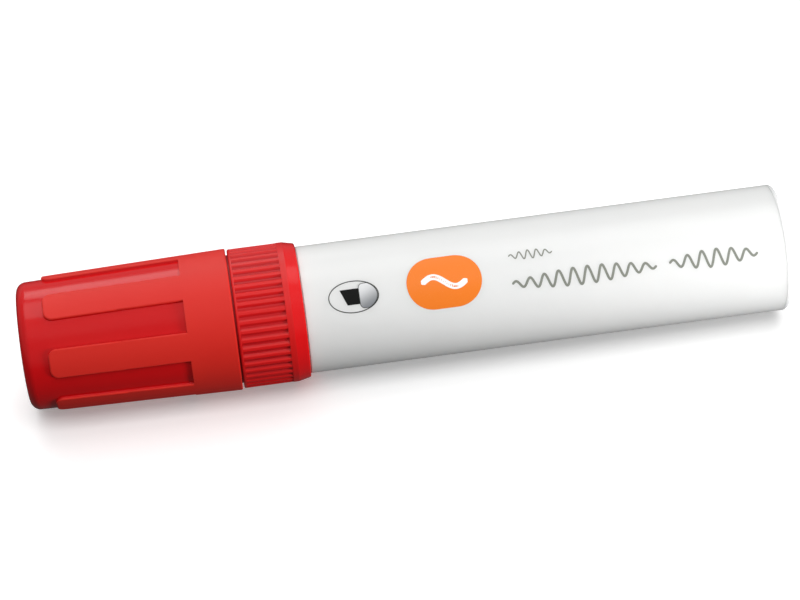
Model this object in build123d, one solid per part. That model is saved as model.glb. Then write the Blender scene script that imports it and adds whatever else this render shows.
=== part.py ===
from build123d import *
import math
import os

# Jumbo whiteboard marker, in millimetres. It is drawn round the X axis with X = 0 at the
# face of the cap's closed end and X growing towards the rear plug. write_part() then moves
# each piece so that the marker lies on Z = 0 with the middle of its length at X = 0.

# Overall
LENGTH = 156.0
BARREL_RADIUS = 13.0

# Construction: how far a cutter runs past a face, and how far a fused piece reaches inside
CUT_PAST = 1.0
JOIN = 0.5

# Cap shell
CAP_LENGTH = 43.1
CAP_MOUTH_RADIUS = 14.5
CAP_MOUTH_ROUND = 0.3
CAP_MOUTH_BEVEL = 0.4
CAP_END_WALL = 1.6
CAP_END_ROUND = 2.0
CAP_END_DOME = 0.32
CAP_END_FLAT = 5.0
CAP_END_BLEND = 80.0
CAP_BORE_RADIUS = 11.7
CAP_BORE_ROUND = 0.8
CAP_SKIRT_BORE_RADIUS = 13.4
CAP_SKIRT_STEP = 0.6
RIB_COUNT = 7
RIB_START = 5.6
RIB_START_RADIUS = 13.71
RIB_END = 33.5
RIB_WIDTH = 6.1
RIB_CORNER = 1.7
RIB_EDGE_ROUND = 0.3
RIB_PHASE = 22.0
RECESS_DEPTH = 0.62
CAP_GATE_RADIUS = 2.6
CAP_GATE_DEPTH = 0.35
CAP_GATE_TAPER = 0.2
CAP_GATE_STUB_RADIUS = 0.7
CAP_GATE_STUB_HEIGHT = 0.2

# Cap liner
LINER_START = 3.0
LINER_END = 38.6
LINER_WALL_END = 1.2
LINER_RADIUS = 10.9
LINER_CAVITY_RADIUS = 9.4
LINER_SEAL_RADIUS = 10.0
LINER_SEAL_START = 30.0
LINER_SEAL_STEP = 0.6
LINER_MOUTH_BEVEL = 0.5
LINER_FLANGE = 1.2
LINER_END_ROUND = 1.4
LINER_CAVITY_ROUND = 0.8
LINER_FIN_START = 6.0
LINER_FIN_COUNT = 8
LINER_FIN_WIDTH = 1.2

# Collar
COLLAR_PILOT_START = 41.6
COLLAR_PILOT_RADIUS = 13.1
COLLAR_PILOT_ROUND = 0.5
COLLAR_START = 43.45
COLLAR_END = 57.2
COLLAR_TAIL_START = 56.0
COLLAR_TAIL_BORE = 13.0
COLLAR_FRONT_ROUND = 0.35
COLLAR_REAR_ROUND = 0.4
COLLAR_LIP_END = 45.2
COLLAR_LIP_RADIUS = 10.0
COLLAR_LIP_ROUND = 0.3
COLLAR_FLANGE_POCKET_END = 47.3
COLLAR_FLANGE_POCKET_RADIUS = 12.95
COLLAR_BORE_RADIUS = 12.6
KNURL_START = 44.0
KNURL_END = 53.5
KNURL_COUNT = 47
KNURL_RADIUS = 14.24
KNURL_DEPTH = 0.4
KNURL_GROOVE_TOP = 1.36
KNURL_GROOVE_FLOOR = 0.36
KNURL_ROUND = 0.16
BAND_END = 54.65
BAND_RADIUS = 14.3
BAND_ROUND = 0.12
BEVEL_END_RADIUS = 13.74

# Thread between the barrel's neck and the collar
THREAD_PITCH = 3.0
THREAD_BASE_WIDTH = 1.5
THREAD_TIP_WIDTH = 0.7
NECK_THREAD_START = 49.6
NECK_THREAD_TURNS = 2.0
NECK_THREAD_TIP_RADIUS = 12.4
COLLAR_THREAD_TURNS = 1.75
COLLAR_THREAD_TIP_RADIUS = 11.95
THREAD_ROOT_OVERLAP = 0.25
HALF_TURN = 180

# Nib holder
SNOUT_START = 22.5
SNOUT_RADIUS = 8.2
SNOUT_ROUND = 1.2
SNOUT_END = 25.0
SNOUT_BLEND = 3.0
NOSE_START = 33.0
NOSE_RADIUS = 9.7
NOSE_BLEND = 4.0
SEAL_BEAD_RADIUS = 9.9
SEAL_BEAD_STATIONS = (34.6, 37.2)
SEAL_BEAD_WIDTH = 0.9
FLANGE_START = 45.35
FLANGE_END = 47.0
FLANGE_RADIUS = 12.7
HOLDER_SKIRT_RADIUS = 10.2
HOLDER_SKIRT_BORE = 9.0
HOLDER_POCKET_START = 46.6
HOLDER_GUIDE_RADIUS = 7.2
HOLDER_END = 51.0
HOLDER_END_ROUND = 0.4
KEY_ANGLES = (90, 270)
KEY_WIDTH = 3.0
KEY_RADIUS = 10.85
KEY_START = 48.3
KEY_END = 50.8
KEY_CLEARANCE = 0.25
KEY_SLOT_END = 51.6
VENT_ANGLES = (0, 180)
VENT_WIDTH = 1.6
VENT_REACH = 4.2

# Nib
NIB_TIP = 12.0
NIB_SLANT = 4.2
NIB_HEAD_WIDTH = 13.5
NIB_HEAD_THICKNESS = 6.6
NIB_TANG_WIDTH = 11.9
NIB_TANG_THICKNESS = 5.9
NIB_TANG_END = 58.5
NIB_SLOT_WIDTH = 12.0
NIB_SLOT_THICKNESS = 6.0
NIB_CORNER = 0.9
NIB_BEVEL_HEIGHT = 1.5
NIB_BEVEL_LENGTH = 2.2
NIB_EDGE_ROUND = 0.3

# Gasket
GASKET_END = 47.85
GASKET_INNER_RADIUS = 10.25
GASKET_OUTER_RADIUS = 11.75
GASKET_ROUND = 0.25
GASKET_INNER_ROUND = 0.15

# Barrel
BARREL_MOUTH = 48.0
BARREL_MOUTH_ROUND = 0.3
BARREL_REGISTER_START = 56.2
BARREL_REGISTER_RADIUS = 12.5
BARREL_SHOULDER = 57.35
BARREL_SHOULDER_ROUND = 0.08
BARREL_END = 155.0
NECK_RADIUS = 11.7
NECK_BORE_RADIUS = 10.5
NECK_BORE_END = 59.5
NECK_BORE_TAPER = 1.0
BARREL_BORE_RADIUS = 11.6
BARREL_FIN_COUNT = 6
BARREL_FIN_PHASE = 30
BARREL_FIN_START = 61.0
BARREL_FIN_WIDTH = 1.0
BARREL_FIN_RADIUS = 10.3
BARREL_FIN_END = 142.0

# Ink reservoir
CORE_START = 52.0
CORE_END = 140.0
CORE_RADIUS = 10.0
FILM_THICKNESS = 0.15
TANG_POCKET_END = 59.0
TANG_POCKET_CLEARANCE = 0.15
BREATHER_RADIUS = 0.8
BREATHER_BORE_RADIUS = 0.5
BREATHER_CLEARANCE = 0.05
BREATHER_OVERHANG = 0.8

# End plug
PLUG_EDGE_ROUND = 0.8
PLUG_SEAM_ROUND = 0.12
PLUG_SPIGOT_START = 147.0
PLUG_SPIGOT_BORE = 10.4
PLUG_FLOOR = 1.6
PLUG_VANE_ANGLES = (0, 90)
PLUG_VANE_START = 140.2
PLUG_VANE_REACH = 10.1
PLUG_VANE_WIDTH = 1.2
PLUG_RING_INNER = 9.4
PLUG_RING_OUTER = 10.0
PLUG_RING_DEPTH = 0.3


def turned(outline, rounds=()):
    """Solid of revolution about X from (station, radius) corners, some of them rounded."""
    face = Polygon(*outline, align=None)
    for corner, size in rounds:
        vertex = face.vertices().sort_by_distance((corner[0], corner[1], 0))[0]
        face = fillet(vertex, size)
    return revolve(face, Axis.X, 360)


def tube(start, end, outer, inner):
    """Plain tube about X."""
    return turned([(start, inner), (end, inner), (end, outer), (start, outer)])


def bar(start, end, width, thickness, corner=0.0):
    """Bar along X, width across Y and thickness across Z."""
    section = Rectangle(width, thickness)
    if corner > 0:
        section = fillet(section.vertices(), corner)
    return extrude(Plane((start, 0, 0), x_dir=(0, 1, 0), z_dir=(1, 0, 0)) * section, end - start)


def radial_fin(start, end, inner, outer, width, angle):
    """Box that stands out from the X axis between two radii, turned about X from +Z."""
    centre = Pos((start + end) / 2, 0, (inner + outer) / 2)
    return Rot(angle, 0, 0) * centre * Box(end - start, width, outer - inner)


def spaced(count, phase=0.0):
    """Angles of count equal places round the axis."""
    return [phase + 360.0 / count * index for index in range(count)]


def thread_ridge(start, turns, root_radius, tip_radius):
    """Right-hand trapezium ridge about X. It reaches a little past its root into the wall."""
    path = Helix(THREAD_PITCH, THREAD_PITCH * turns, root_radius, (start, 0, 0), (1, 0, 0))
    begin = path @ 0
    outward = Vector(0, begin.Y, begin.Z).normalized()
    height = tip_radius - root_radius
    overlap = -math.copysign(THREAD_ROOT_OVERLAP, height)
    half_tip = THREAD_TIP_WIDTH / 2
    flank = (THREAD_BASE_WIDTH / 2 - half_tip) / abs(height)
    half_buried = THREAD_BASE_WIDTH / 2 + flank * THREAD_ROOT_OVERLAP
    corners = [(overlap, -half_buried), (height, -half_tip), (height, half_tip), (overlap, half_buried)]
    section = Plane(begin, x_dir=outward, z_dir=path % 0) * Polygon(*corners, align=None)
    return sweep(section, path=path, is_frenet=True)


def cap_outer_radius(station):
    """Radius of the drafted outside of the ribs and skirt."""
    slope = (CAP_MOUTH_RADIUS - RIB_START_RADIUS) / (CAP_LENGTH - RIB_START)
    return RIB_START_RADIUS + slope * (station - RIB_START)


def cap_rib(angle):
    """One grip rib: a drafted bar with round corners at its free end and soft top edges."""
    reach = RIB_END + CUT_PAST
    plan = Rectangle(reach - RIB_START, RIB_WIDTH)
    plan = fillet(plan.vertices().sort_by(Axis.X)[:2], RIB_CORNER)
    low = cap_outer_radius(RIB_START) - 2 * RECESS_DEPTH
    block = extrude(Pos((reach + RIB_START) / 2, 0, low) * plan, CAP_MOUTH_RADIUS - low + CUT_PAST)
    far = reach + CUT_PAST
    skin = turned([(0, 0), (far, 0), (far, cap_outer_radius(far)), (0, cap_outer_radius(0))])
    rib = block & skin
    top = rib.faces().sort_by(Axis.Z)[-1]
    edges = [edge for edge in top.edges() if edge.center().X < RIB_END]
    rib = fillet(edges, RIB_EDGE_ROUND)
    return Rot(angle, 0, 0) * rib


def make_cap_shell():
    """Ribbed cap, closed at its end, with a stepped bore."""
    floor_start = cap_outer_radius(0) - RECESS_DEPTH
    floor_end = cap_outer_radius(RIB_END) - RECESS_DEPTH
    body = turned(
        [
            (0, 0),
            (0, CAP_END_FLAT),
            (CAP_END_DOME, floor_start),
            (RIB_END, floor_end),
            (RIB_END, cap_outer_radius(RIB_END)),
            (CAP_LENGTH, CAP_MOUTH_RADIUS),
            (CAP_LENGTH, 0),
        ],
        [
            ((0, CAP_END_FLAT), CAP_END_BLEND),
            ((CAP_END_DOME, floor_start), CAP_END_ROUND),
            ((CAP_LENGTH, CAP_MOUTH_RADIUS), CAP_MOUTH_ROUND),
        ],
    )
    for angle in spaced(RIB_COUNT, RIB_PHASE):
        body += cap_rib(angle)
    mouth_radius = CAP_SKIRT_BORE_RADIUS + CAP_MOUTH_BEVEL
    bore = turned(
        [
            (CAP_END_WALL, 0),
            (CAP_END_WALL, CAP_BORE_RADIUS),
            (LINER_END, CAP_BORE_RADIUS),
            (LINER_END + CAP_SKIRT_STEP, CAP_SKIRT_BORE_RADIUS),
            (CAP_LENGTH - CAP_MOUTH_BEVEL, CAP_SKIRT_BORE_RADIUS),
            (CAP_LENGTH, mouth_radius),
            (CAP_LENGTH + CUT_PAST, mouth_radius),
            (CAP_LENGTH + CUT_PAST, 0),
        ],
        [((CAP_END_WALL, CAP_BORE_RADIUS), CAP_BORE_ROUND)],
    )
    # The dimple left by the mould's gate, with the short stub of the runner in its middle.
    stub_top = CAP_GATE_DEPTH - CAP_GATE_STUB_HEIGHT
    dimple = turned(
        [
            (-CUT_PAST, 0),
            (-CUT_PAST, CAP_GATE_RADIUS + CAP_GATE_TAPER),
            (0, CAP_GATE_RADIUS),
            (CAP_GATE_DEPTH, CAP_GATE_RADIUS - CAP_GATE_TAPER),
            (CAP_GATE_DEPTH, CAP_GATE_STUB_RADIUS),
            (stub_top, CAP_GATE_STUB_RADIUS),
            (stub_top, 0),
        ]
    )
    return body - bore - dimple


def make_cap_liner():
    """Inner cup that seals on the nose, held in the shell by its fins and mouth flange."""
    cavity_start = LINER_START + LINER_WALL_END
    liner = turned(
        [
            (LINER_START, 0),
            (LINER_START, LINER_RADIUS),
            (LINER_END - LINER_FLANGE, LINER_RADIUS),
            (LINER_END - LINER_FLANGE, CAP_BORE_RADIUS),
            (LINER_END, CAP_BORE_RADIUS),
            (LINER_END, LINER_SEAL_RADIUS + LINER_MOUTH_BEVEL),
            (LINER_END - LINER_MOUTH_BEVEL, LINER_SEAL_RADIUS),
            (LINER_SEAL_START, LINER_SEAL_RADIUS),
            (LINER_SEAL_START - LINER_SEAL_STEP, LINER_CAVITY_RADIUS),
            (cavity_start, LINER_CAVITY_RADIUS),
            (cavity_start, 0),
        ],
        [
            ((LINER_START, LINER_RADIUS), LINER_END_ROUND),
            ((cavity_start, LINER_CAVITY_RADIUS), LINER_CAVITY_ROUND),
        ],
    )
    for angle in spaced(LINER_FIN_COUNT):
        fin = radial_fin(
            LINER_FIN_START, LINER_END - JOIN, LINER_RADIUS - JOIN, CAP_BORE_RADIUS + CUT_PAST,
            LINER_FIN_WIDTH, angle,
        )
        liner += fin & tube(LINER_START, LINER_END, CAP_BORE_RADIUS, LINER_RADIUS - 2 * JOIN)
    return liner


def make_collar_ring():
    """Screw collar: fine ribs, raised band and bevel outside, lip, pocket and thread inside."""
    groove_floor = KNURL_RADIUS - KNURL_DEPTH
    collar = turned(
        [
            (COLLAR_PILOT_START, COLLAR_LIP_RADIUS),
            (COLLAR_PILOT_START, COLLAR_PILOT_RADIUS),
            (COLLAR_START, COLLAR_PILOT_RADIUS),
            (COLLAR_START, KNURL_RADIUS),
            (KNURL_START, KNURL_RADIUS),
            (KNURL_START, groove_floor),
            (KNURL_END, groove_floor),
            (KNURL_END, BAND_RADIUS),
            (BAND_END, BAND_RADIUS),
            (COLLAR_END, BEVEL_END_RADIUS),
            (COLLAR_END, COLLAR_TAIL_BORE),
            (COLLAR_TAIL_START, COLLAR_TAIL_BORE),
            (COLLAR_TAIL_START, COLLAR_BORE_RADIUS),
            (COLLAR_FLANGE_POCKET_END, COLLAR_BORE_RADIUS),
            (COLLAR_FLANGE_POCKET_END, COLLAR_FLANGE_POCKET_RADIUS),
            (COLLAR_LIP_END, COLLAR_FLANGE_POCKET_RADIUS),
            (COLLAR_LIP_END, COLLAR_LIP_RADIUS),
        ],
        [
            ((COLLAR_START, KNURL_RADIUS), COLLAR_FRONT_ROUND),
            ((COLLAR_PILOT_START, COLLAR_LIP_RADIUS), COLLAR_LIP_ROUND),
            ((COLLAR_PILOT_START, COLLAR_PILOT_RADIUS), COLLAR_PILOT_ROUND),
            ((BAND_END, BAND_RADIUS), BAND_ROUND),
            ((COLLAR_END, BEVEL_END_RADIUS), COLLAR_REAR_ROUND),
        ],
    )
    half_floor = KNURL_GROOVE_FLOOR / 2
    half_outside = KNURL_GROOVE_TOP - half_floor
    ring = Circle(KNURL_RADIUS) - Circle(groove_floor - JOIN)
    notch = Polygon(
        (KNURL_RADIUS + KNURL_DEPTH, -half_outside),
        (KNURL_RADIUS + KNURL_DEPTH, half_outside),
        (groove_floor, half_floor),
        (groove_floor, -half_floor),
        align=None,
    )
    ring -= [Rot(0, 0, angle) * notch for angle in spaced(KNURL_COUNT)]
    middle = KNURL_RADIUS - KNURL_DEPTH / 2
    crests = [vertex for vertex in ring.vertices() if math.hypot(vertex.X, vertex.Y) > middle]
    ring = fillet(crests, KNURL_ROUND)
    seat = Plane((KNURL_START, 0, 0), x_dir=(0, 1, 0), z_dir=(1, 0, 0))
    collar += extrude(seat * ring, KNURL_END - KNURL_START)
    ridge = thread_ridge(
        NECK_THREAD_START, COLLAR_THREAD_TURNS, COLLAR_BORE_RADIUS, COLLAR_THREAD_TIP_RADIUS
    )
    # Half a turn puts this ridge in the middle of the groove between the neck's turns.
    collar += Rot(HALF_TURN, 0, 0) * ridge
    return collar


def make_nib_holder():
    """Nose with a slot for the nib, sealing beads, clamping flange, keyed skirt and vents."""
    holder = turned(
        [
            (SNOUT_START, 0),
            (SNOUT_START, SNOUT_RADIUS),
            (SNOUT_END, SNOUT_RADIUS),
            (NOSE_START, NOSE_RADIUS),
            (FLANGE_START, NOSE_RADIUS),
            (FLANGE_START, FLANGE_RADIUS),
            (FLANGE_END, FLANGE_RADIUS),
            (FLANGE_END, HOLDER_SKIRT_RADIUS),
            (HOLDER_END, HOLDER_SKIRT_RADIUS),
            (HOLDER_END, 0),
        ],
        [
            ((SNOUT_START, SNOUT_RADIUS), SNOUT_ROUND),
            ((SNOUT_END, SNOUT_RADIUS), SNOUT_BLEND),
            ((NOSE_START, NOSE_RADIUS), NOSE_BLEND),
            ((HOLDER_END, HOLDER_SKIRT_RADIUS), HOLDER_END_ROUND),
        ],
    )
    for station in SEAL_BEAD_STATIONS:
        half = SEAL_BEAD_WIDTH / 2
        holder += turned(
            [
                (station - half, NOSE_RADIUS - JOIN),
                (station - half, NOSE_RADIUS),
                (station - half / 2, SEAL_BEAD_RADIUS),
                (station + half / 2, SEAL_BEAD_RADIUS),
                (station + half, NOSE_RADIUS),
                (station + half, NOSE_RADIUS - JOIN),
            ]
        )
    front = SNOUT_START - CUT_PAST
    rear = HOLDER_END + CUT_PAST
    holder -= tube(HOLDER_POCKET_START, rear, HOLDER_SKIRT_BORE, HOLDER_GUIDE_RADIUS)
    for angle in KEY_ANGLES:
        key = radial_fin(
            KEY_START, KEY_END, HOLDER_SKIRT_BORE + JOIN, KEY_RADIUS + CUT_PAST, KEY_WIDTH, angle
        )
        holder += key & tube(KEY_START, HOLDER_END, KEY_RADIUS, HOLDER_SKIRT_BORE)
    holder -= bar(front, rear, NIB_SLOT_WIDTH, NIB_SLOT_THICKNESS, NIB_CORNER)
    for angle in VENT_ANGLES:
        holder -= radial_fin(front, rear, 0, VENT_REACH, VENT_WIDTH, angle)
    return holder


def make_nib():
    """Chisel nib: a slanted, bevelled head and a long flat tang."""
    head = bar(NIB_TIP, SNOUT_START, NIB_HEAD_WIDTH, NIB_HEAD_THICKNESS, NIB_CORNER)
    slope = NIB_SLANT / NIB_HEAD_WIDTH
    along_edge = Vector(slope, -1, 0).normalized()
    inward = Vector(1, slope, 0).normalized()
    middle = (NIB_TIP + NIB_SLANT / 2, 0, 0)
    tip = Plane(middle, x_dir=inward, z_dir=along_edge)
    half = NIB_HEAD_THICKNESS / 2
    rise = NIB_BEVEL_HEIGHT / NIB_BEVEL_LENGTH
    far = NIB_BEVEL_LENGTH + 2 * CUT_PAST
    low = half - NIB_BEVEL_HEIGHT - NIB_SLANT * rise
    high = half - NIB_BEVEL_HEIGHT + far * rise
    outside = Rectangle(NIB_SLANT, 2 * NIB_HEAD_THICKNESS, align=(Align.MAX, Align.CENTER))
    bevel = Polygon((-NIB_SLANT, low), (far, high), (-NIB_SLANT, high), align=None)
    cutter = outside + bevel + mirror(bevel, about=Plane.XZ)
    head -= extrude(tip * cutter, NIB_HEAD_WIDTH, both=True)
    head = fillet(head.faces().sort_by(Axis.X)[0].edges(), NIB_EDGE_ROUND)
    tang = bar(SNOUT_START, NIB_TANG_END, NIB_TANG_WIDTH, NIB_TANG_THICKNESS, NIB_CORNER)
    end_edges = tang.faces().sort_by(Axis.X)[-1].edges()
    tang = chamfer(end_edges, NIB_CORNER / 2)
    return head + tang


def make_holder_gasket():
    """Soft ring on the holder's skirt, against its flange."""
    start = FLANGE_END
    return turned(
        [
            (start, GASKET_INNER_RADIUS),
            (start, GASKET_OUTER_RADIUS),
            (GASKET_END, GASKET_OUTER_RADIUS),
            (GASKET_END, GASKET_INNER_RADIUS),
        ],
        [
            ((start, GASKET_OUTER_RADIUS), GASKET_ROUND),
            ((GASKET_END, GASKET_OUTER_RADIUS), GASKET_ROUND),
            ((GASKET_END, GASKET_INNER_RADIUS), GASKET_INNER_ROUND),
        ],
    )


def make_barrel():
    """Barrel with a threaded, key-slotted neck and fins that steady the reservoir."""
    barrel = turned(
        [
            (BARREL_MOUTH, NECK_BORE_RADIUS),
            (BARREL_MOUTH, NECK_RADIUS),
            (BARREL_REGISTER_START, NECK_RADIUS),
            (BARREL_REGISTER_START, BARREL_REGISTER_RADIUS),
            (BARREL_SHOULDER, BARREL_REGISTER_RADIUS),
            (BARREL_SHOULDER, BARREL_RADIUS),
            (BARREL_END, BARREL_RADIUS),
            (BARREL_END, BARREL_BORE_RADIUS),
            (NECK_BORE_END + NECK_BORE_TAPER, BARREL_BORE_RADIUS),
            (NECK_BORE_END, NECK_BORE_RADIUS),
        ],
        [
            ((BARREL_MOUTH, NECK_RADIUS), BARREL_MOUTH_ROUND),
            ((BARREL_SHOULDER, BARREL_RADIUS), BARREL_SHOULDER_ROUND),
            ((BARREL_END, BARREL_RADIUS), PLUG_SEAM_ROUND),
        ],
    )
    barrel += thread_ridge(NECK_THREAD_START, NECK_THREAD_TURNS, NECK_RADIUS, NECK_THREAD_TIP_RADIUS)
    reach = KEY_RADIUS + KEY_CLEARANCE
    inside = NECK_BORE_RADIUS - 2 * CUT_PAST
    for angle in KEY_ANGLES:
        slot = radial_fin(
            BARREL_MOUTH - CUT_PAST, KEY_SLOT_END, inside, reach + CUT_PAST,
            KEY_WIDTH + 2 * KEY_CLEARANCE, angle,
        )
        barrel -= slot & tube(BARREL_MOUTH - CUT_PAST, KEY_SLOT_END, reach, inside)
    wall = BARREL_BORE_RADIUS + JOIN
    for angle in spaced(BARREL_FIN_COUNT, BARREL_FIN_PHASE):
        fin = radial_fin(
            BARREL_FIN_START, BARREL_FIN_END, BARREL_FIN_RADIUS - CUT_PAST, wall, BARREL_FIN_WIDTH, angle
        )
        barrel += fin & tube(NECK_BORE_END, BARREL_END, wall, BARREL_FIN_RADIUS)
    return barrel


def breather_place():
    """Where the breather tube lies: along X at the top of the fibre bundle."""
    return Plane((0, 0, CORE_RADIUS - BREATHER_RADIUS), x_dir=(0, 1, 0), z_dir=(1, 0, 0))


def make_reservoir_core():
    """Fibre bundle with a pocket for the nib's tang and a channel for the breather tube."""
    core = turned([(CORE_START, 0), (CORE_START, CORE_RADIUS), (CORE_END, CORE_RADIUS), (CORE_END, 0)])
    gap = 2 * TANG_POCKET_CLEARANCE
    core -= bar(
        CORE_START - CUT_PAST, TANG_POCKET_END, NIB_TANG_WIDTH + gap, NIB_TANG_THICKNESS + gap, NIB_CORNER
    )
    square = Rectangle(2 * BREATHER_RADIUS, 2 * BREATHER_RADIUS)
    channel = breather_place() * square
    channel += breather_place() * Pos(0, -BREATHER_RADIUS) * square
    core -= extrude(Pos(CORE_START - CUT_PAST, 0, 0) * channel, CORE_END - CORE_START + 2 * CUT_PAST)
    return core


def make_reservoir_film():
    """Film wrapped round the fibre bundle."""
    return tube(CORE_START, CORE_END, CORE_RADIUS + FILM_THICKNESS, CORE_RADIUS)


def make_breather_tube():
    """Thin tube that lies in the bundle's channel under the film."""
    ring = Circle(BREATHER_RADIUS - BREATHER_CLEARANCE) - Circle(BREATHER_BORE_RADIUS)
    length = CORE_END - CORE_START + BREATHER_OVERHANG
    return extrude(Pos(CORE_START - BREATHER_OVERHANG, 0, 0) * (breather_place() * ring), length)


def make_end_plug():
    """Rear plug: rounded flange flush with the barrel, spigot, and vanes behind the reservoir."""
    plug = turned(
        [
            (BARREL_END, 0),
            (BARREL_END, BARREL_RADIUS),
            (LENGTH, BARREL_RADIUS),
            (LENGTH, 0),
        ],
        [
            ((LENGTH, BARREL_RADIUS), PLUG_EDGE_ROUND),
            ((BARREL_END, BARREL_RADIUS), PLUG_SEAM_ROUND),
        ],
    )
    buried = BARREL_END + JOIN
    floor_start = LENGTH - PLUG_FLOOR
    floor_radius = PLUG_SPIGOT_BORE + JOIN
    plug += tube(PLUG_SPIGOT_START, buried, BARREL_BORE_RADIUS, PLUG_SPIGOT_BORE)
    plug += turned([(floor_start, 0), (floor_start, floor_radius), (buried, floor_radius), (buried, 0)])
    vane_end = floor_start + JOIN
    for angle in PLUG_VANE_ANGLES:
        centre = Pos((PLUG_VANE_START + vane_end) / 2, 0, 0)
        vane = Box(vane_end - PLUG_VANE_START, PLUG_VANE_WIDTH, 2 * PLUG_VANE_REACH)
        plug += Rot(angle, 0, 0) * centre * vane
    plug -= tube(LENGTH - PLUG_RING_DEPTH, LENGTH + CUT_PAST, PLUG_RING_OUTER, PLUG_RING_INNER)
    return plug


def write_part(name, solid):
    """Move a piece into the marker's own frame and write its STEP file."""
    placed = Pos(-LENGTH / 2, 0, CAP_MOUTH_RADIUS) * solid
    placed.label = name
    export_step(placed, os.path.join("parts", name + ".step"))


os.makedirs("parts", exist_ok=True)
write_part("cap_shell", make_cap_shell())
write_part("cap_liner", make_cap_liner())
write_part("collar_ring", make_collar_ring())
write_part("nib_holder", make_nib_holder())
write_part("nib", make_nib())
write_part("holder_gasket", make_holder_gasket())
write_part("barrel", make_barrel())
write_part("reservoir_core", make_reservoir_core())
write_part("reservoir_film", make_reservoir_film())
write_part("breather_tube", make_breather_tube())
write_part("end_plug", make_end_plug())
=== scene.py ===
"""Jumbo whiteboard marker: finishes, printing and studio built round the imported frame."""

import logging
import math
from dataclasses import dataclass, field
from enum import Enum
from typing import Any, ClassVar, Mapping, Optional, Sequence

import bpy
from mathutils import Matrix, Vector


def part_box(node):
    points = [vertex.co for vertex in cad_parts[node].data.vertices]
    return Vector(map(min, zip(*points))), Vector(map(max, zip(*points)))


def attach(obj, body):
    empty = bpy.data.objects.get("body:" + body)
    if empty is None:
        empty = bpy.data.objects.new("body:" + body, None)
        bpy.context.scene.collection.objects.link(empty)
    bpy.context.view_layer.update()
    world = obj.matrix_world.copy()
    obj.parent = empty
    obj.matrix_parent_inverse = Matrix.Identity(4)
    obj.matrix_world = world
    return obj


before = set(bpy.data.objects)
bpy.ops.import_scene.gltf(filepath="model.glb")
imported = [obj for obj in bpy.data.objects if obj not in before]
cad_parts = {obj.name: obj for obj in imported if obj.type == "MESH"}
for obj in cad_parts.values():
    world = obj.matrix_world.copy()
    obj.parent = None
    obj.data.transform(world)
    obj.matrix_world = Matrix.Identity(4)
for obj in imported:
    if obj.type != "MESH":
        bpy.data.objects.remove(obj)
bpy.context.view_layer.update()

LOG = logging.getLogger("marker")
MM = 0.001
AXIS_HEIGHT = (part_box("barrel")[0].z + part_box("barrel")[1].z) / 2
BARREL_RADIUS = (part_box("barrel")[1].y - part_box("barrel")[0].y) / 2

Colour = tuple[float, float, float, float]
Outline = Sequence[tuple[float, float]]


# ------------------------------------------------------------------------------ colour and nodes


def linear(hex_colour: str, alpha: float = 1.0) -> Colour:
    """Turn an sRGB hex colour into the linear values that the shaders take.

    Args:
        hex_colour: six hex digits, with or without a leading hash.
        alpha: the fourth value, passed through.

    Returns:
        Linear red, green, blue and the alpha.
    """
    digits = hex_colour.lstrip("#")
    encoded = [int(digits[place:place + 2], 16) / 255 for place in (0, 2, 4)]
    values = [c / 12.92 if c <= 0.04045 else ((c + 0.055) / 1.055) ** 2.4 for c in encoded]
    return (values[0], values[1], values[2], alpha)


def add_node(
    tree: bpy.types.NodeTree,
    kind: str,
    settings: Optional[Mapping[str, Any]] = None,
    inputs: Optional[Mapping[Any, Any]] = None,
) -> bpy.types.Node:
    """Add one node with its settings, input values and links.

    Args:
        tree: the node tree it goes in.
        kind: the node's type name.
        settings: properties of the node itself.
        inputs: a value or an output socket for each input, by name or by place.

    Returns:
        The new node.
    """
    node = tree.nodes.new(kind)
    for name, value in (settings or {}).items():
        setattr(node, name, value)
    for place, value in (inputs or {}).items():
        if isinstance(value, bpy.types.NodeSocket):
            tree.links.new(value, node.inputs[place])
        else:
            node.inputs[place].default_value = value
    return node


@dataclass(frozen=True)
class ShaftPlace:
    """Sockets that say where a shaded point lies on the marker."""

    point: bpy.types.NodeSocket
    along: bpy.types.NodeSocket
    radius: bpy.types.NodeSocket
    turn: bpy.types.NodeSocket


def shaft_place(tree: bpy.types.NodeTree) -> ShaftPlace:
    """Work out a point's place along and round the marker's axis, in the part's own frame.

    Args:
        tree: the material's node tree.

    Returns:
        The point measured from the axis, its X, its distance from the axis and its angle round it.
    """
    coordinates = add_node(tree, "ShaderNodeTexCoord").outputs["Object"]
    centred = add_node(
        tree, "ShaderNodeVectorMath", {"operation": "SUBTRACT"}, {0: coordinates, 1: (0, 0, AXIS_HEIGHT)}
    ).outputs[0]
    across = add_node(
        tree, "ShaderNodeVectorMath", {"operation": "MULTIPLY"}, {0: centred, 1: (0, 1, 1)}
    ).outputs[0]
    radius = add_node(tree, "ShaderNodeVectorMath", {"operation": "LENGTH"}, {0: across}).outputs["Value"]
    parts = add_node(tree, "ShaderNodeSeparateXYZ", None, {0: centred})
    turn = add_node(
        tree, "ShaderNodeMath", {"operation": "ARCTAN2"}, {0: parts.outputs["Y"], 1: parts.outputs["Z"]}
    ).outputs[0]
    return ShaftPlace(centred, parts.outputs["X"], radius, turn)


# --------------------------------------------------------------------------------------- finishes


class Polish(Enum):
    """How the mould's steel was finished, as the roughness that it leaves on the plastic."""

    MIRROR = 0.18
    GLOSS = 0.24
    SATIN = 0.36
    SPARK_ERODED = 0.52
    AS_EXTRUDED = 0.46


POLYPROPYLENE_IOR = 1.49
POLYETHYLENE_IOR = 1.51
RUBBER_IOR = 1.52
INK_IOR = 1.47
FIBRE_IOR = 1.45


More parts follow.
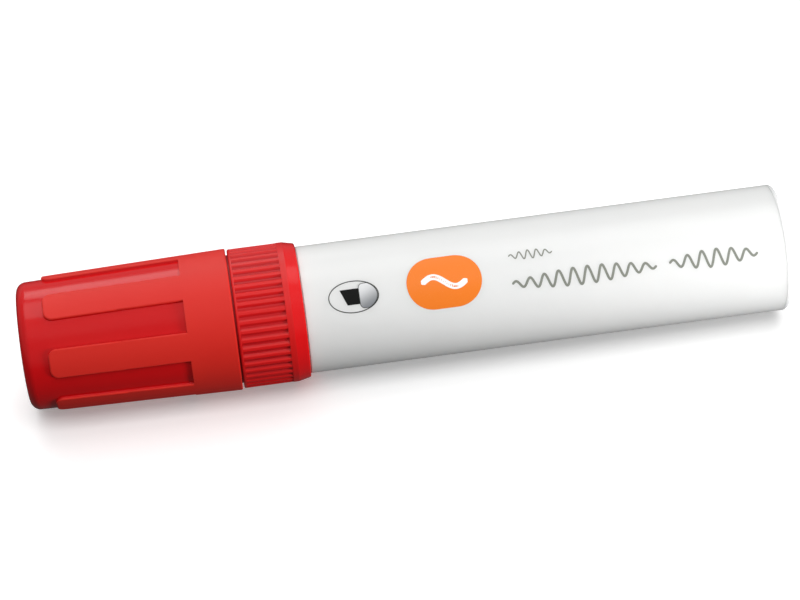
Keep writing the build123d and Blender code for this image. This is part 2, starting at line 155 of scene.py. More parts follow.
@dataclass(frozen=True)
class Finish:
    """A real material and the way its surface was made."""

    name: str
    colour: str
    polish: Polish = Polish.SATIN
    ior: float = POLYPROPYLENE_IOR

    def start(self) -> tuple[bpy.types.Material, bpy.types.NodeTree, bpy.types.Node]:
        """Make the material with its constant values set on the shader's own sockets.

        Returns:
            The material, its node tree and its surface shader.
        """
        material = bpy.data.materials.new(self.name)
        material.use_nodes = True
        tree = material.node_tree
        shader = tree.nodes["Principled BSDF"]
        shader.inputs["Base Color"].default_value = linear(self.colour)
        shader.inputs["Roughness"].default_value = self.polish.value
        shader.inputs["IOR"].default_value = self.ior
        material.diffuse_color = linear(self.colour)
        return material, tree, shader

    def tint(
        self, tree: bpy.types.NodeTree, shader: bpy.types.Node, other: str, factor: bpy.types.NodeSocket
    ) -> None:
        """Shade the colour so far towards another one where a pattern says so.

        Args:
            tree: the material's node tree.
            shader: its surface shader.
            other: the second sRGB colour.
            factor: how much of the second colour shows.
        """
        base = shader.inputs["Base Color"]
        so_far = base.links[0].from_socket if base.links else linear(self.colour)
        mixed = add_node(
            tree, "ShaderNodeMix", {"data_type": "RGBA"}, {0: factor, 6: so_far, 7: linear(other)}
        ).outputs[2]
        tree.links.new(mixed, base)

    def build(self) -> bpy.types.Material:
        """Make the material."""
        raise NotImplementedError


def fine_noise(
    tree: bpy.types.NodeTree, place: bpy.types.NodeSocket, size: float, detail: float = 2.0
) -> bpy.types.NodeSocket:
    """Noise whose lumps have a real size.

    Args:
        tree: the material's node tree.
        place: the point socket it is read at.
        size: the width of one lump in metres.
        detail: how many finer octaves are added.

    Returns:
        The noise's value, from 0 to 1.
    """
    return add_node(
        tree, "ShaderNodeTexNoise", None, {"Vector": place, "Scale": 1 / size, "Detail": detail}
    ).outputs[0]


def bump(
    tree: bpy.types.NodeTree,
    shader: bpy.types.Node,
    height: bpy.types.NodeSocket,
    depth: float,
    strength: float = 1.0,
) -> None:
    """Raise a pattern on the surface.

    Args:
        tree: the material's node tree.
        shader: its surface shader.
        height: the pattern, from 0 to 1.
        depth: its real depth in metres.
        strength: how much of it shows.
    """
    node = add_node(
        tree, "ShaderNodeBump", None, {"Height": height, "Distance": depth, "Strength": strength}
    )
    tree.links.new(node.outputs[0], shader.inputs["Normal"])


@dataclass(frozen=True)
class TwoFinishPolypropylene(Finish):
    """Coloured polypropylene from a mould with spark-eroded ribs and mirror-polished recesses."""

    # The ribs and the skirt scatter light from a fine even grain, so they look paler and velvety.
    # The recess floors and the closed end carry clear soft reflections and a deeper colour.
    rib_colour: str = "#DD2A20"
    rib_radius: float = 13.71 * MM
    rib_start: float = -72.4 * MM
    grain: float = 0.32 * MM
    grain_depth: float = 0.016 * MM
    polished_below: float = 0.34 * MM
    grained_above: float = 0.22 * MM
    flow_size: float = 14 * MM
    fading: tuple[float, float] = (-0.14, 0.08)

    def build(self) -> bpy.types.Material:
        """Make the material, with the grain only where the mould was spark-eroded."""
        material, tree, shader = self.start()
        place = shaft_place(tree)
        # The cap's mouth carries the marker, so its radius is the height of the axis.
        draft = (AXIS_HEIGHT - self.rib_radius) / (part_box("cap_shell")[1].x - self.rib_start)
        rise = add_node(
            tree, "ShaderNodeMath", {"operation": "MULTIPLY_ADD"},
            {0: place.along, 1: draft, 2: self.rib_radius - self.rib_start * draft},
        ).outputs[0]
        under = add_node(
            tree, "ShaderNodeMath", {"operation": "SUBTRACT"}, {0: place.radius, 1: rise}
        ).outputs[0]
        grained = add_node(
            tree, "ShaderNodeMapRange", {"interpolation_type": "SMOOTHSTEP"},
            {"Value": under, "From Min": -self.polished_below, "From Max": -self.grained_above},
        ).outputs[0]
        roughness = add_node(
            tree, "ShaderNodeMapRange", None,
            {"Value": grained, "To Min": self.polish.value, "To Max": Polish.SPARK_ERODED.value},
        ).outputs[0]
        tree.links.new(roughness, shader.inputs["Roughness"])
        flow = fine_noise(tree, place.point, self.flow_size, 3.0)
        faded = add_node(
            tree, "ShaderNodeMapRange", None,
            {"Value": flow, "From Min": 0.3, "From Max": 0.7,
             "To Min": self.fading[0], "To Max": self.fading[1]},
        ).outputs[0]
        factor = add_node(
            tree, "ShaderNodeMath", {"operation": "ADD", "use_clamp": True}, {0: grained, 1: faded}
        ).outputs[0]
        self.tint(tree, shader, self.rib_colour, factor)
        # The real grit is about 0.05 mm; it is drawn at 0.32 mm so that it shows at all.
        grit = fine_noise(tree, place.point, self.grain, 4.0)
        height = add_node(
            tree, "ShaderNodeMath", {"operation": "MULTIPLY"}, {0: grit, 1: grained}
        ).outputs[0]
        bump(tree, shader, height, self.grain_depth)
        shader.inputs["Subsurface Weight"].default_value = 0.06
        shader.inputs["Subsurface Radius"].default_value = (1.0, 0.25, 0.2)
        shader.inputs["Subsurface Scale"].default_value = 0.5 * MM
        return material


@dataclass(frozen=True)
class CollarPolypropylene(Finish):
    """Coloured polypropylene with a satin ribbed grip and a mirror-polished bevel."""

    # The ribs break the light into stripes; the bevel behind them is a bright clean ring.
    # The grooves are painted a little darker than the crests: this is painted shade.
    bevel_start: float = -23.3 * MM
    bevel_blend: float = 0.1 * MM
    crest_radius: float = 14.15 * MM
    groove_radius: float = 13.88 * MM
    grip_colour: str = "#D41C1A"
    painted_groove_shade: str = "#C2141A"
    grain: float = 0.22 * MM
    grain_depth: float = 0.006 * MM
    cloud_size: float = 6 * MM

    def build(self) -> bpy.types.Material:
        """Make the material, polished behind the raised band."""
        material, tree, shader = self.start()
        place = shaft_place(tree)
        polished = add_node(
            tree, "ShaderNodeMapRange", None,
            {"Value": place.along, "From Min": self.bevel_start,
             "From Max": self.bevel_start + self.bevel_blend},
        ).outputs[0]
        roughness = add_node(
            tree, "ShaderNodeMapRange", None,
            {"Value": polished, "To Min": Polish.SATIN.value, "To Max": self.polish.value},
        ).outputs[0]
        tree.links.new(roughness, shader.inputs["Roughness"])
        satin = add_node(
            tree, "ShaderNodeMath", {"operation": "SUBTRACT"}, {0: 1.0, 1: polished}
        ).outputs[0]
        cloud = fine_noise(tree, place.point, self.cloud_size)
        factor = add_node(
            tree, "ShaderNodeMath", {"operation": "MULTIPLY"}, {0: satin, 1: cloud}
        ).outputs[0]
        self.tint(tree, shader, self.grip_colour, factor)
        # Painted shade: the grooves are tinted darker towards their floors, where shade falls between the
        # ribs.
        depth = add_node(
            tree, "ShaderNodeMapRange", None,
            {"Value": place.radius, "From Min": self.crest_radius, "From Max": self.groove_radius},
        ).outputs[0]
        groove_shade_factor = add_node(
            tree, "ShaderNodeMath", {"operation": "MULTIPLY"}, {0: depth, 1: satin}
        ).outputs[0]
        self.tint(tree, shader, self.painted_groove_shade, groove_shade_factor)
        grit = fine_noise(tree, place.point, self.grain, 3.0)
        height = add_node(
            tree, "ShaderNodeMath", {"operation": "MULTIPLY"}, {0: grit, 1: satin}
        ).outputs[0]
        bump(tree, shader, height, self.grain_depth)
        return material


@dataclass(frozen=True)
class BarrelPolypropylene(Finish):
    """White polypropylene tube moulding, softly glossy."""

    # A dense milky white with a broad soft highlight and a barely uneven, drawn surface.
    shade: str = "#E9EAE9"
    ripple: float = 5 * MM
    ripple_depth: float = 0.03 * MM
    draw_length: float = 60 * MM
    cloud_size: float = 22 * MM

    def build(self) -> bpy.types.Material:
        """Make the material, with its faint lengthwise ripple and a little depth of light."""
        material, tree, shader = self.start()
        place = shaft_place(tree)
        stretched = add_node(
            tree, "ShaderNodeVectorMath", {"operation": "MULTIPLY"},
            {0: place.point, 1: (self.ripple / self.draw_length, 1, 1)},
        ).outputs[0]
        ripple = fine_noise(tree, stretched, self.ripple)
        cloud = fine_noise(tree, place.point, self.cloud_size)
        self.tint(tree, shader, self.shade, cloud)
        rough = add_node(
            tree, "ShaderNodeMapRange", None,
            {"Value": cloud, "To Min": self.polish.value - 0.03, "To Max": self.polish.value + 0.05},
        ).outputs[0]
        tree.links.new(rough, shader.inputs["Roughness"])
        bump(tree, shader, ripple, self.ripple_depth, 0.5)
        shader.inputs["Subsurface Weight"].default_value = 0.4
        shader.inputs["Subsurface Radius"].default_value = (1.0, 0.97, 0.94)
        shader.inputs["Subsurface Scale"].default_value = 3.0 * MM
        return material


@dataclass(frozen=True)
class NaturalPolyethylene(Finish):
    """Uncoloured moulded polyethylene."""

    # Waxy and cloudy: light sinks in, so edges look soft and the shadows inside are pale.
    ior: float = POLYETHYLENE_IOR
    cloud_colour: str = "#DAD9D2"
    cloud_size: float = 4 * MM
    grain: float = 0.5 * MM
    grain_depth: float = 0.01 * MM

    def build(self) -> bpy.types.Material:
        """Make the material, cloudy and lit from within."""
        material, tree, shader = self.start()
        place = shaft_place(tree)
        cloud = fine_noise(tree, place.point, self.cloud_size, 3.0)
        self.tint(tree, shader, self.cloud_colour, cloud)
        bump(tree, shader, fine_noise(tree, place.point, self.grain, 3.0), self.grain_depth)
        shader.inputs["Subsurface Weight"].default_value = 0.5
        shader.inputs["Subsurface Radius"].default_value = (1.0, 0.95, 0.85)
        shader.inputs["Subsurface Scale"].default_value = 1.2 * MM
        return material


@dataclass(frozen=True)
class HolderPolypropylene(Finish):
    """White polypropylene nose, satin, with ink dried round the nib."""

    # Clean white at the flange; a faint red stain creeps back from the nib along the nose.
    stain: str = "#C98480"
    stain_start: float = -55.6 * MM
    stain_end: float = -50.0 * MM
    stain_patch: float = 2.5 * MM
    grain: float = 0.3 * MM
    grain_depth: float = 0.008 * MM

    def build(self) -> bpy.types.Material:
        """Make the material, stained towards the nib."""
        material, tree, shader = self.start()
        place = shaft_place(tree)
        patchy = fine_noise(tree, place.point, self.stain_patch, 4.0)
        reach = add_node(
            tree, "ShaderNodeMapRange", None,
            {"Value": place.along, "From Min": self.stain_start, "From Max": self.stain_end,
             "To Min": 0.9, "To Max": -0.25},
        ).outputs[0]
        factor = add_node(
            tree, "ShaderNodeMath", {"operation": "MULTIPLY", "use_clamp": True}, {0: reach, 1: patchy}
        ).outputs[0]
        self.tint(tree, shader, self.stain, factor)
        bump(tree, shader, fine_noise(tree, place.point, self.grain, 3.0), self.grain_depth)
        shader.inputs["Subsurface Weight"].default_value = 0.15
        shader.inputs["Subsurface Scale"].default_value = 0.6 * MM
        return material


@dataclass(frozen=True)
class BondedFibre(Finish):
    """Acrylic or polyester fibre, bonded into a block or bundled, and wet with ink."""

    # Fine threads run along the marker: a dull, deep, slightly streaked colour with no gloss.
    ior: float = FIBRE_IOR
    light_thread: str = "#B5201C"
    thread: float = 0.14 * MM
    thread_length: float = 5 * MM
    nap: float = 0.05 * MM

    def build(self) -> bpy.types.Material:
        """Make the material, with threads lying along X."""
        material, tree, shader = self.start()
        place = shaft_place(tree)
        shader.inputs["Roughness"].default_value = 0.85
        # Real threads are about 0.02 mm thick; they are drawn at 0.14 mm so that they show.
        drawn_out = add_node(
            tree, "ShaderNodeVectorMath", {"operation": "MULTIPLY"},
            {0: place.point, 1: (self.thread / self.thread_length, 1, 1)},
        ).outputs[0]
        threads = fine_noise(tree, drawn_out, self.thread, 3.0)
        contrast = add_node(
            tree, "ShaderNodeMapRange", None, {"Value": threads, "From Min": 0.35, "From Max": 0.68}
        ).outputs[0]
        self.tint(tree, shader, self.light_thread, contrast)
        bump(tree, shader, threads, self.nap)
        shader.inputs["Sheen Weight"].default_value = 0.25
        shader.inputs["Sheen Roughness"].default_value = 0.5
        return material


@dataclass(frozen=True)
class MouldedRubber(Finish):
    """Soft black nitrile rubber ring."""

    # Near black and dull, with a greyish bloom where it has been handled.
    ior: float = RUBBER_IOR
    bloom: str = "#3A3A3B"
    bloom_size: float = 1.2 * MM
    grain: float = 0.2 * MM
    grain_depth: float = 0.01 * MM

    def build(self) -> bpy.types.Material:
        """Make the material, with its bloom."""
        material, tree, shader = self.start()
        place = shaft_place(tree)
        shader.inputs["Roughness"].default_value = 0.7
        self.tint(tree, shader, self.bloom, fine_noise(tree, place.point, self.bloom_size, 4.0))
        bump(tree, shader, fine_noise(tree, place.point, self.grain), self.grain_depth)
        return material


@dataclass(frozen=True)
class ClearFilm(Finish):
    """Oriented polypropylene film wound round the fibre bundle."""

    # Thin and clear with sharp lengthwise glints where it creases.
    opacity: float = 0.35
    crease: float = 1.5 * MM
    crease_depth: float = 0.08 * MM
    crease_stretch: float = 0.08

    def build(self) -> bpy.types.Material:
        """Make the material, see-through with a creased surface."""
        material, tree, shader = self.start()
        place = shaft_place(tree)
        shader.inputs["Alpha"].default_value = self.opacity
        creases = add_node(
            tree, "ShaderNodeVectorMath", {"operation": "MULTIPLY"},
            {0: place.point, 1: (self.crease_stretch, 1, 1)},
        ).outputs[0]
        bump(tree, shader, fine_noise(tree, creases, self.crease, 3.0), self.crease_depth)
        return material


@dataclass(frozen=True)
class PadPrintedInk(Finish):
    """Solvent ink laid down by a soft printing pad, and dried."""

    # An even, nearly flat layer, a little duller than the barrel, thinner in tiny specks.
    ior: float = INK_IOR
    thin_colour: str = "#B0B0AC"
    speck: float = 0.25 * MM
    speck_depth: float = 0.004 * MM

    def build(self) -> bpy.types.Material:
        """Make the material, with its pinholes and specks."""
        material, tree, shader = self.start()
        place = shaft_place(tree)
        specks = fine_noise(tree, place.point, self.speck, 4.0)
        factor = add_node(
            tree, "ShaderNodeMapRange", None,
            {"Value": specks, "From Min": 0.62, "From Max": 0.8, "To Min": 0.0, "To Max": 0.5},
        ).outputs[0]
        self.tint(tree, shader, self.thin_colour, factor)
        bump(tree, shader, specks, self.speck_depth)
        return material


@dataclass(frozen=True)
class ShadedInk(Finish):
    """Pad-printed grey that fades from light to dark across the icon, in a fine halftone."""

    # Reads as a smooth grey fade; the halftone dots are far too small to pick out singly.
    ior: float = INK_IOR
    dark: str = "#85888C"
    centre_along: float = -8.0 * MM
    centre_turn: float = math.radians(49.4)
    fade: float = 2.6 * MM
    fade_slant: float = 0.45
    grain: float = 0.2 * MM
    grain_depth: float = 0.003 * MM

    def build(self) -> bpy.types.Material:
        """Make the material, darker low down and towards the icon's rim."""
        material, tree, shader = self.start()
        place = shaft_place(tree)
        turned = add_node(
            tree, "ShaderNodeMath", {"operation": "MULTIPLY_ADD"},
            {0: place.turn, 1: -BARREL_RADIUS, 2: -BARREL_RADIUS * self.centre_turn},
        ).outputs[0]
        moved = add_node(
            tree, "ShaderNodeMath", {"operation": "SUBTRACT"}, {0: place.along, 1: self.centre_along}
        ).outputs[0]
        slanted = add_node(
            tree, "ShaderNodeMath", {"operation": "MULTIPLY_ADD"}, {0: moved, 1: self.fade_slant, 2: turned}
        ).outputs[0]
        factor = add_node(
            tree, "ShaderNodeMapRange", {"interpolation_type": "SMOOTHSTEP"},
            {"Value": slanted, "From Min": -self.fade, "From Max": self.fade},
        ).outputs[0]
        self.tint(tree, shader, self.dark, factor)
        bump(tree, shader, fine_noise(tree, place.point, self.grain), self.grain_depth)
        return material


@dataclass(frozen=True)
class OpalTable(Finish):
    """Matt opal acrylic table top, lit a little from beneath."""

    # A clean, even, pale ground with the softest tooth and weak shadows.
    glow: float = 0.24
    tooth: float = 1.5 * MM
    tooth_depth: float = 0.01 * MM

    def build(self) -> bpy.types.Material:
        """Make the material."""
        material, tree, shader = self.start()
        shader.inputs["Roughness"].default_value = 0.95
        shader.inputs["Specular IOR Level"].default_value = 0.1
        shader.inputs["Emission Color"].default_value = linear("#FFFFFF")
        shader.inputs["Emission Strength"].default_value = self.glow
        place = add_node(tree, "ShaderNodeTexCoord").outputs["Object"]
        bump(tree, shader, fine_noise(tree, place, self.tooth), self.tooth_depth)
        return material


# ------------------------------------------------------------------------------- mesh and printing


def make_piece(
    name: str, points: Sequence[Vector], faces: Sequence[Sequence[int]], smooth: bool = True
) -> bpy.types.Object:
    """Make a mesh object in the row frame.

    Args:
        name: the piece's name.
        points: its corners in metres.
        faces: its faces as lists of corners.
        smooth: whether its faces are shaded as one curved surface.

    Returns:
        The object, linked to the scene.
    """
    mesh = bpy.data.meshes.new(name)
    mesh.from_pydata([tuple(point) for point in points], [], [tuple(face) for face in faces])
    mesh.validate()
    mesh.polygons.foreach_set("use_smooth", [smooth] * len(mesh.polygons))
    mesh.update()
    piece = bpy.data.objects.new(name, mesh)
    bpy.context.scene.collection.objects.link(piece)
    return piece


def dress(piece: bpy.types.Object, finish: Finish) -> None:
    """Give a piece one finish in place of any it has.

    Args:
        piece: the object.
        finish: the finish to build and assign.
    """
    material = bpy.data.materials.get(finish.name) or finish.build()
    piece.data.materials.clear()
    piece.data.materials.append(material)
    LOG.info("%s: %s", piece.name, finish.name)


@dataclass
class BarrelPrint:
    """One printed area: a thin closed layer of ink that follows the barrel."""

    name: str
    finish: Finish
    layer: int = 1
    ink: float = 0.012 * MM
    sink: float = 0.02 * MM

    def place(self, along: float, arc: float, height: float) -> Vector:
        """Wrap a flat point onto the barrel.

        Args:
            along: X in metres.
            arc: distance round the barrel from the printing line, upwards, in metres.
            height: height above the barrel's surface in metres.

        Returns:
            The point in the row frame.
        """
        turn = Artwork.line_turn - arc / BARREL_RADIUS
        radius = BARREL_RADIUS + height
        return Vector((along, -radius * math.sin(turn), AXIS_HEIGHT + radius * math.cos(turn)))

    def shell(self, left: Outline, right: Outline, closed: bool = False) -> bpy.types.Object:
        """Make the layer between two edges that run side by side.

        Args:
            left: (along, arc) points of one edge.
            right: as many points of the other edge.
            closed: whether the two edges are rings.

        Returns:
            The finished piece, riding on the barrel.
        """
        top = self.ink * self.layer
        points: list[Vector] = []
        for one, other in zip(left, right):
            for height in (top, -self.sink):
                points.append(self.place(*one, height))
                points.append(self.place(*other, height))
        count = len(left)
        faces: list[tuple[int, ...]] = []
        for step in range(count if closed else count - 1):
            here, there = 4 * step, 4 * ((step + 1) % count)
            faces.append((here, there, there + 1, here + 1))
            faces.append((here + 3, there + 3, there + 2, here + 2))
            faces.append((here + 2, there + 2, there, here))
            faces.append((here + 1, there + 1, there + 3, here + 3))
        if not closed:
            last = 4 * (count - 1)
            faces.append((0, 1, 3, 2))
            faces.append((last + 2, last + 3, last + 1, last))
        piece = make_piece(self.name, points, faces, smooth=False)
        dress(piece, self.finish)
        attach(piece, "barrel")
        return piece

    def stroke(self, route: Outline, width: float, closed: bool = False) -> bpy.types.Object:
        """Make a pen-like stroke of even width with round ends.

        Args:
            route: (along, arc) points of its middle line.
            width: its width in metres.
            closed: whether it joins up into a ring.

        Returns:
            The finished piece.
        """
        left: list[tuple[float, float]] = []
        right: list[tuple[float, float]] = []
        count = len(route)
        travelled = [0.0]
        for before, after in zip(route, route[1:]):
            travelled.append(travelled[-1] + math.dist(before, after))
        for step, (along, arc) in enumerate(route):
            before = route[step - 1] if closed or step > 0 else route[0]
            after = route[(step + 1) % count] if closed or step < count - 1 else route[-1]
            run, rise = after[0] - before[0], after[1] - before[1]
            length = math.hypot(run, rise)
            half = width / 2
            if not closed:
                near_end = min(travelled[step], travelled[-1] - travelled[step], half)
                half *= math.sqrt(max(0.02, 1 - (1 - near_end / half) ** 2))
            across = (-rise / length * half, run / length * half)
            left.append((along + across[0], arc + across[1]))
            right.append((along - across[0], arc - across[1]))
        return self.shell(left, right, closed)


@dataclass
class Artwork:
    """Everything printed on the barrel: nib icon, orange badge, and two lines of pen marks."""

    # The printing line is 55 degrees round from the top, towards the front.
    line_turn: ClassVar[float] = math.radians(55.0)

    icon_centre: tuple[float, float] = (-10.7 * MM, 1.27 * MM)
    icon_half: tuple[float, float] = (5.0 * MM, 3.2 * MM)
    icon_line: float = 0.2 * MM
    nib_span: tuple[float, float] = (-2.66 * MM, 1.45 * MM)
    nib_half_height: float = 1.6 * MM
    nib_slant: float = 1.25 * MM
    holder_start: float = 1.15 * MM
    holder_half_height: float = 2.5 * MM
    holder_corner: float = 0.9 * MM
    holder_line: float = 0.12 * MM
    badge_centre: tuple[float, float] = (7.7 * MM, 1.9 * MM)
    badge_half: tuple[float, float] = (7.6 * MM, 5.4 * MM)
    badge_wave_half: float = 4.6 * MM
    badge_wave_height: float = 1.2 * MM
    badge_stroke: float = 1.2 * MM
    long_marks: tuple[float, float, float] = (21.2 * MM, 71.3 * MM, -0.5 * MM)
    short_marks: tuple[float, float, float] = (21.2 * MM, 30.1 * MM, 5.3 * MM)
    long_gap: tuple[float, float] = (29.4 * MM, 32.0 * MM)
    long_wave: tuple[float, float] = (1.75 * MM, 2.95 * MM)
    long_stroke: float = 0.5 * MM
    short_wave: tuple[float, float] = (0.95 * MM, 1.75 * MM)
    short_stroke: float = 0.26 * MM
    mark_swell: float = 0.75
    mark_colour: str = "#85887F"
    steps_per_wave: int = 28
    oval_steps: int = 96
    pieces: list[bpy.types.Object] = field(default_factory=list)

    def wave(
        self, start: float, end: float, arc: float, height: float, length: float, swell: float = 0.0
    ) -> list[tuple[float, float]]:
        """Trace a wave, like a line drawn to try a pen.

        Args:
            start: X of its left end.
            end: X of its right end.
            arc: its middle line.
            height: half its height at its highest.
            length: the length of one wave.
            swell: how much lower it is at its ends than in the middle, from 0 to 1.

        Returns:
            The (along, arc) points of its middle line.
        """
        waves = max(1.0, round((end - start) / length * 2) / 2)
        count = int(waves * self.steps_per_wave)
        return [
            (
                start + (end - start) * step / count,
                arc
                + height
                * (1 - swell + swell * math.sin(math.pi * step / count))
                * math.sin(2 * math.pi * waves * step / count),
            )
            for step in range(count + 1)
        ]

    def rows(self, half_height: float, count: int = 40) -> list[float]:
        """Heights of the rows of a filled shape, closer together at its top and bottom."""
        return [half_height * math.sin(math.pi * (step / count - 0.5)) for step in range(count + 1)]

    def build_icon(self) -> None:
        """Print the chisel-nib icon: an oval line, a slanted nib and a rounded holder."""
        along, arc = self.icon_centre
        half_along, half_arc = self.icon_half
        ring = [
            (along + half_along * math.cos(angle), arc + half_arc * math.sin(angle))
            for angle in (2 * math.pi * step / self.oval_steps for step in range(self.oval_steps))
        ]
        black = PadPrintedInk("pad_printed_black_ink", "#0A0A0A", Polish.SATIN, thin_colour="#242424")
        line = PadPrintedInk("pad_printed_line_ink", "#3C3E3C", Polish.SATIN)
        self.pieces.append(BarrelPrint("icon_oval", line).stroke(ring, self.icon_line, closed=True))
        rows = self.rows(self.nib_half_height, 16)
        left, right = self.nib_span
        lean = self.nib_slant / 2
        slanted = [(along + left + lean * (1 - row / self.nib_half_height), arc + row) for row in rows]
        straight = [(along + right, arc + row) for row in rows]
        self.pieces.append(BarrelPrint("icon_nib", black).shell(slanted, straight))
        grey = ShadedInk("pad_printed_grey_fade", "#E4E5E6", Polish.SATIN)
        corner = self.holder_corner
        rows = self.rows(self.holder_half_height, 28)
        near = []
        far = []
        for row in rows:
            past = max(0.0, abs(row) - (self.holder_half_height - corner))
            inset = corner - math.sqrt(max(0.0, corner ** 2 - past ** 2))
            near.append((along + self.holder_start + inset, arc + row))
            reach = half_along * math.sqrt(1 - (row / half_arc) ** 2) - self.icon_line
            far.append((along + reach, arc + row))
        self.pieces.append(BarrelPrint("icon_holder", grey, layer=2).shell(near, far))
        edge = near + far[::-1]
        outline = BarrelPrint("icon_holder_line", line, layer=3)
        self.pieces.append(outline.stroke(edge, self.holder_line, closed=True))

    def build_badge(self) -> None:
        """Print the orange pill with a white wave across it."""
        along, arc = self.badge_centre
        half_along, half_arc = self.badge_half
        straight = half_along - half_arc
        orange = PadPrintedInk("pad_printed_orange_ink", "#F47F24", Polish.SATIN, thin_colour="#F79A52")
        rows = self.rows(half_arc)
        reach = [straight + math.sqrt(max(0.0, half_arc ** 2 - row ** 2)) for row in rows]
        left = [(along - far, arc + row) for far, row in zip(reach, rows)]
        right = [(along + far, arc + row) for far, row in zip(reach, rows)]
        self.pieces.append(BarrelPrint("badge_pill", orange).shell(left, right))
        white = PadPrintedInk("pad_printed_white_ink", "#FAFAF8", Polish.SATIN, thin_colour="#F3D9C4")
        left, right = along - self.badge_wave_half, along + self.badge_wave_half
        wave = self.wave(left, right, arc, self.badge_wave_height, right - left)
        self.pieces.append(BarrelPrint("badge_wave", white, layer=2).stroke(wave, self.badge_stroke))

    def build_marks(self) -> None:
        """Print two lines of grey pen waves, the long one in two runs."""
        grey = PadPrintedInk("pad_printed_grey_ink", self.mark_colour, Polish.SATIN)
        start, end, arc = self.long_marks
        runs = (
            ("mark_wave_long_a", start, start + self.long_gap[0]),
            ("mark_wave_long_b", start + self.long_gap[1], end),
        )
        for name, left, right in runs:
            wave = self.wave(left, right, arc, *self.long_wave, swell=self.mark_swell)
            self.pieces.append(BarrelPrint(name, grey).stroke(wave, self.long_stroke))
        start, end, arc = self.short_marks
        wave = self.wave(start, end, arc, *self.short_wave, swell=self.mark_swell)
        self.pieces.append(BarrelPrint("mark_wave_short", grey).stroke(wave, self.short_stroke))

    def build(self) -> None:
        """Print everything."""
        self.build_icon()
        self.build_badge()
        self.build_marks()
        LOG.info("artwork: %d printed pieces", len(self.pieces))


# ------------------------------------------------------------------------------------ sub-assemblies


@dataclass
class Cap:
    """Push-on cap: ribbed shell and inner sealing cup."""

    shell_finish: Finish = TwoFinishPolypropylene("moulded_red_polypropylene", "#D20A10", Polish.MIRROR)
    liner_finish: Finish = NaturalPolyethylene("moulded_natural_polyethylene", "#E6E5DF", Polish.SATIN)

    def dress(self) -> None:
        """Finish the shell and the liner."""
        dress(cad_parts["cap_shell"], self.shell_finish)
        dress(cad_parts["cap_liner"], self.liner_finish)


@dataclass
class Collar:
    """Screw collar."""

    finish: Finish = CollarPolypropylene("moulded_red_collar_polypropylene", "#DE1216", Polish.MIRROR)

    def dress(self) -> None:
        """Finish the collar."""
        dress(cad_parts["collar_ring"], self.finish)


@dataclass
class NibUnit:
    """Nib, its holder and the gasket behind the holder's flange."""

    holder_finish: Finish = HolderPolypropylene("moulded_white_holder_polypropylene", "#E4E4E0")
    nib_finish: Finish = BondedFibre("bonded_acrylic_fibre", "#7E0B10")
    gasket_finish: Finish = MouldedRubber("moulded_nitrile_rubber", "#1E1E1F")

    def dress(self) -> None:
        """Finish the three pieces."""
        dress(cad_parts["nib_holder"], self.holder_finish)
        dress(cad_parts["nib"], self.nib_finish)
        dress(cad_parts["holder_gasket"], self.gasket_finish)


@dataclass
class Barrel:
    """Barrel, its rear plug and the ink reservoir inside."""

    barrel_finish: Finish = BarrelPolypropylene("moulded_white_polypropylene", "#EEEEEC", Polish.GLOSS)
    plug_finish: Finish = BarrelPolypropylene(
        "moulded_white_plug_polypropylene", "#EFEFEE", Polish.GLOSS, shade="#E6E7E8"
    )
    core_finish: Finish = BondedFibre(
        "bundled_polyester_fibre", "#8C1216", light_thread="#C23A34", thread=0.2 * MM
    )
    film_finish: Finish = ClearFilm("clear_polypropylene_film", "#F1F4F6", Polish.MIRROR)
    breather_finish: Finish = NaturalPolyethylene(
        "extruded_natural_polyethylene", "#E4E4E0", Polish.AS_EXTRUDED
    )

    def dress(self) -> None:
        """Finish the five pieces."""
        finishes = {
            "barrel": self.barrel_finish,
            "end_plug": self.plug_finish,
            "reservoir_core": self.core_finish,
            "reservoir_film": self.film_finish,
            "breather_tube": self.breather_finish,
        }
        for node, finish in finishes.items():
            dress(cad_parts[node], finish)


# ------------------------------------------------------------------------------------------- studio


@dataclass(frozen=True)
class SoftBox:
    """One square of soft light, aimed at the marker."""

    name: str
    azimuth: float
    elevation: float
    distance: float
    size: tuple[float, float]
    power: float
    along: float = 0.0
    reflected: bool = True

    def build(self, target: Vector) -> bpy.types.Object:
        """Hang the light.

        Args:
            target: the point that it faces.

        Returns:
            The light object.
        """
        data = bpy.data.lights.new(self.name, "AREA")
        data.shape = "RECTANGLE"
        data.size, data.size_y = self.size
        data.energy = self.power
        light = bpy.data.objects.new(self.name, data)
        turn, rise = math.radians(self.azimuth), math.radians(self.elevation)
        away = Vector((math.sin(turn) * math.cos(rise), -math.cos(turn) * math.cos(rise), math.sin(rise)))
        light.location = target + away * self.distance
        light.rotation_euler = (-away).to_track_quat("-Z", "Y").to_euler()
        light.visible_glossy = self.reflected
        light.visible_camera = False
        bpy.context.scene.collection.objects.link(light)
        return light


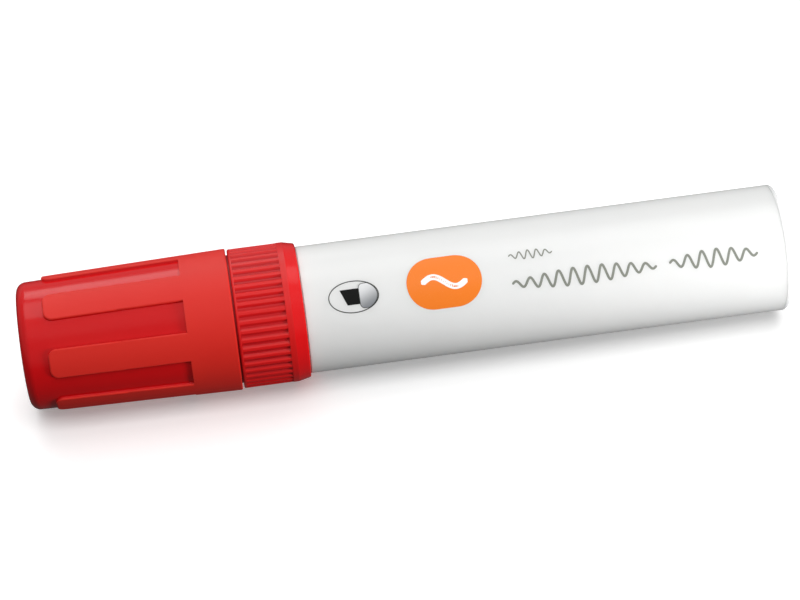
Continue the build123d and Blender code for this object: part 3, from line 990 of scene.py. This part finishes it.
@dataclass
class Studio:
    """Camera, floor and soft light."""

    elevation: float = 35.0
    cap_towards: float = 3.7
    image_tilt: float = 7.578
    lens: float = 128.25
    sensor: float = 36.0
    distance: float = 582.7 * MM
    aim_along: float = -0.675 * MM
    aim_drop: float = 0.61 * MM
    floor_size: float = 6.0
    horizon_blend: float = 0.15
    lights: tuple[SoftBox, ...] = (
        SoftBox("soft_box_front", -6, 62, 1.3, (1.6, 0.8), 9.6, reflected=False),
        SoftBox("soft_box_back", 176, 42, 1.25, (1.6, 0.6), 5.8, reflected=False),
        SoftBox("soft_box_top", -4, 101, 1.3, (1.2, 0.8), 3.4),
        SoftBox("soft_box_strip", 186.4, 42, 1.2, (0.3, 0.44), 0.7),
        SoftBox("soft_box_low", 48, 0, 0.22, (0.1, 0.03), 0.56, along=54 * MM, reflected=False),
    )
    room_above: float = 0.28
    room_below: float = 0.07

    def build_camera(self) -> bpy.types.Object:
        """Place the camera beside the marker, with the cap a little nearer."""
        turn, rise = math.radians(self.cap_towards), math.radians(self.elevation)
        back = Vector((-math.sin(turn), -math.cos(turn) * math.cos(rise), math.cos(turn) * math.sin(rise)))
        axis = Vector((1, 0, 0))
        seen = (axis - back * axis.dot(back)).normalized()
        right = Matrix.Rotation(-math.radians(self.image_tilt), 3, back) @ seen
        up = back.cross(right)
        target = Vector((self.aim_along, 0, AXIS_HEIGHT))
        data = bpy.data.cameras.new("studio_camera")
        data.lens = self.lens
        data.sensor_width = self.sensor
        data.clip_start = 0.01
        data.clip_end = 50
        camera = bpy.data.objects.new("studio_camera", data)
        pose = Matrix((right, up, back)).transposed().to_4x4()
        pose.translation = target + back * self.distance - up * self.aim_drop
        camera.matrix_world = pose
        bpy.context.scene.collection.objects.link(camera)
        bpy.context.scene.camera = camera
        return camera

    def build_floor(self) -> bpy.types.Object:
        """Lay the pale floor that the marker rests on."""
        half = self.floor_size / 2
        steps = 8
        points = [
            Vector((half * (2 * column / steps - 1), half * (2 * row / steps - 1), 0))
            for row in range(steps + 1)
            for column in range(steps + 1)
        ]
        faces = [
            (
                row * (steps + 1) + column,
                row * (steps + 1) + column + 1,
                (row + 1) * (steps + 1) + column + 1,
                (row + 1) * (steps + 1) + column,
            )
            for row in range(steps)
            for column in range(steps)
        ]
        floor = make_piece("studio_floor", points, faces)
        dress(floor, OpalTable("opal_acrylic_table", "#FCFCFC"))
        floor.visible_diffuse = False
        floor.visible_glossy = False
        return floor

    def build_light(self) -> None:
        """Hang the soft boxes and set the even light of the room."""
        for box in self.lights:
            box.build(Vector((box.along, 0, AXIS_HEIGHT)))
        world = bpy.data.worlds.new("studio_room")
        world.use_nodes = True
        background = world.node_tree.nodes["Background"]
        background.inputs["Color"].default_value = linear("#FFFFFF")
        direction = add_node(world.node_tree, "ShaderNodeTexCoord").outputs["Generated"]
        height = add_node(world.node_tree, "ShaderNodeSeparateXYZ", None, {0: direction}).outputs["Z"]
        strength = add_node(
            world.node_tree, "ShaderNodeMapRange", None,
            {"Value": height, "From Min": -self.horizon_blend, "From Max": self.horizon_blend,
             "To Min": self.room_below, "To Max": self.room_above},
        ).outputs[0]
        world.node_tree.links.new(strength, background.inputs["Strength"])
        bpy.context.scene.world = world
        bpy.context.scene.view_settings.view_transform = "Standard"

    def build(self) -> None:
        """Make the whole studio."""
        self.build_camera()
        self.build_floor()
        self.build_light()
        LOG.info("studio: %d soft boxes", len(self.lights))


def main() -> None:
    """Dress the frame, print the barrel and build the studio."""
    logging.basicConfig(level=logging.INFO, format="%(name)s %(message)s")
    for assembly in (Barrel(), NibUnit(), Collar(), Cap()):
        assembly.dress()
    Artwork().build()
    Studio().build()


if __name__ == "__main__":
    main()
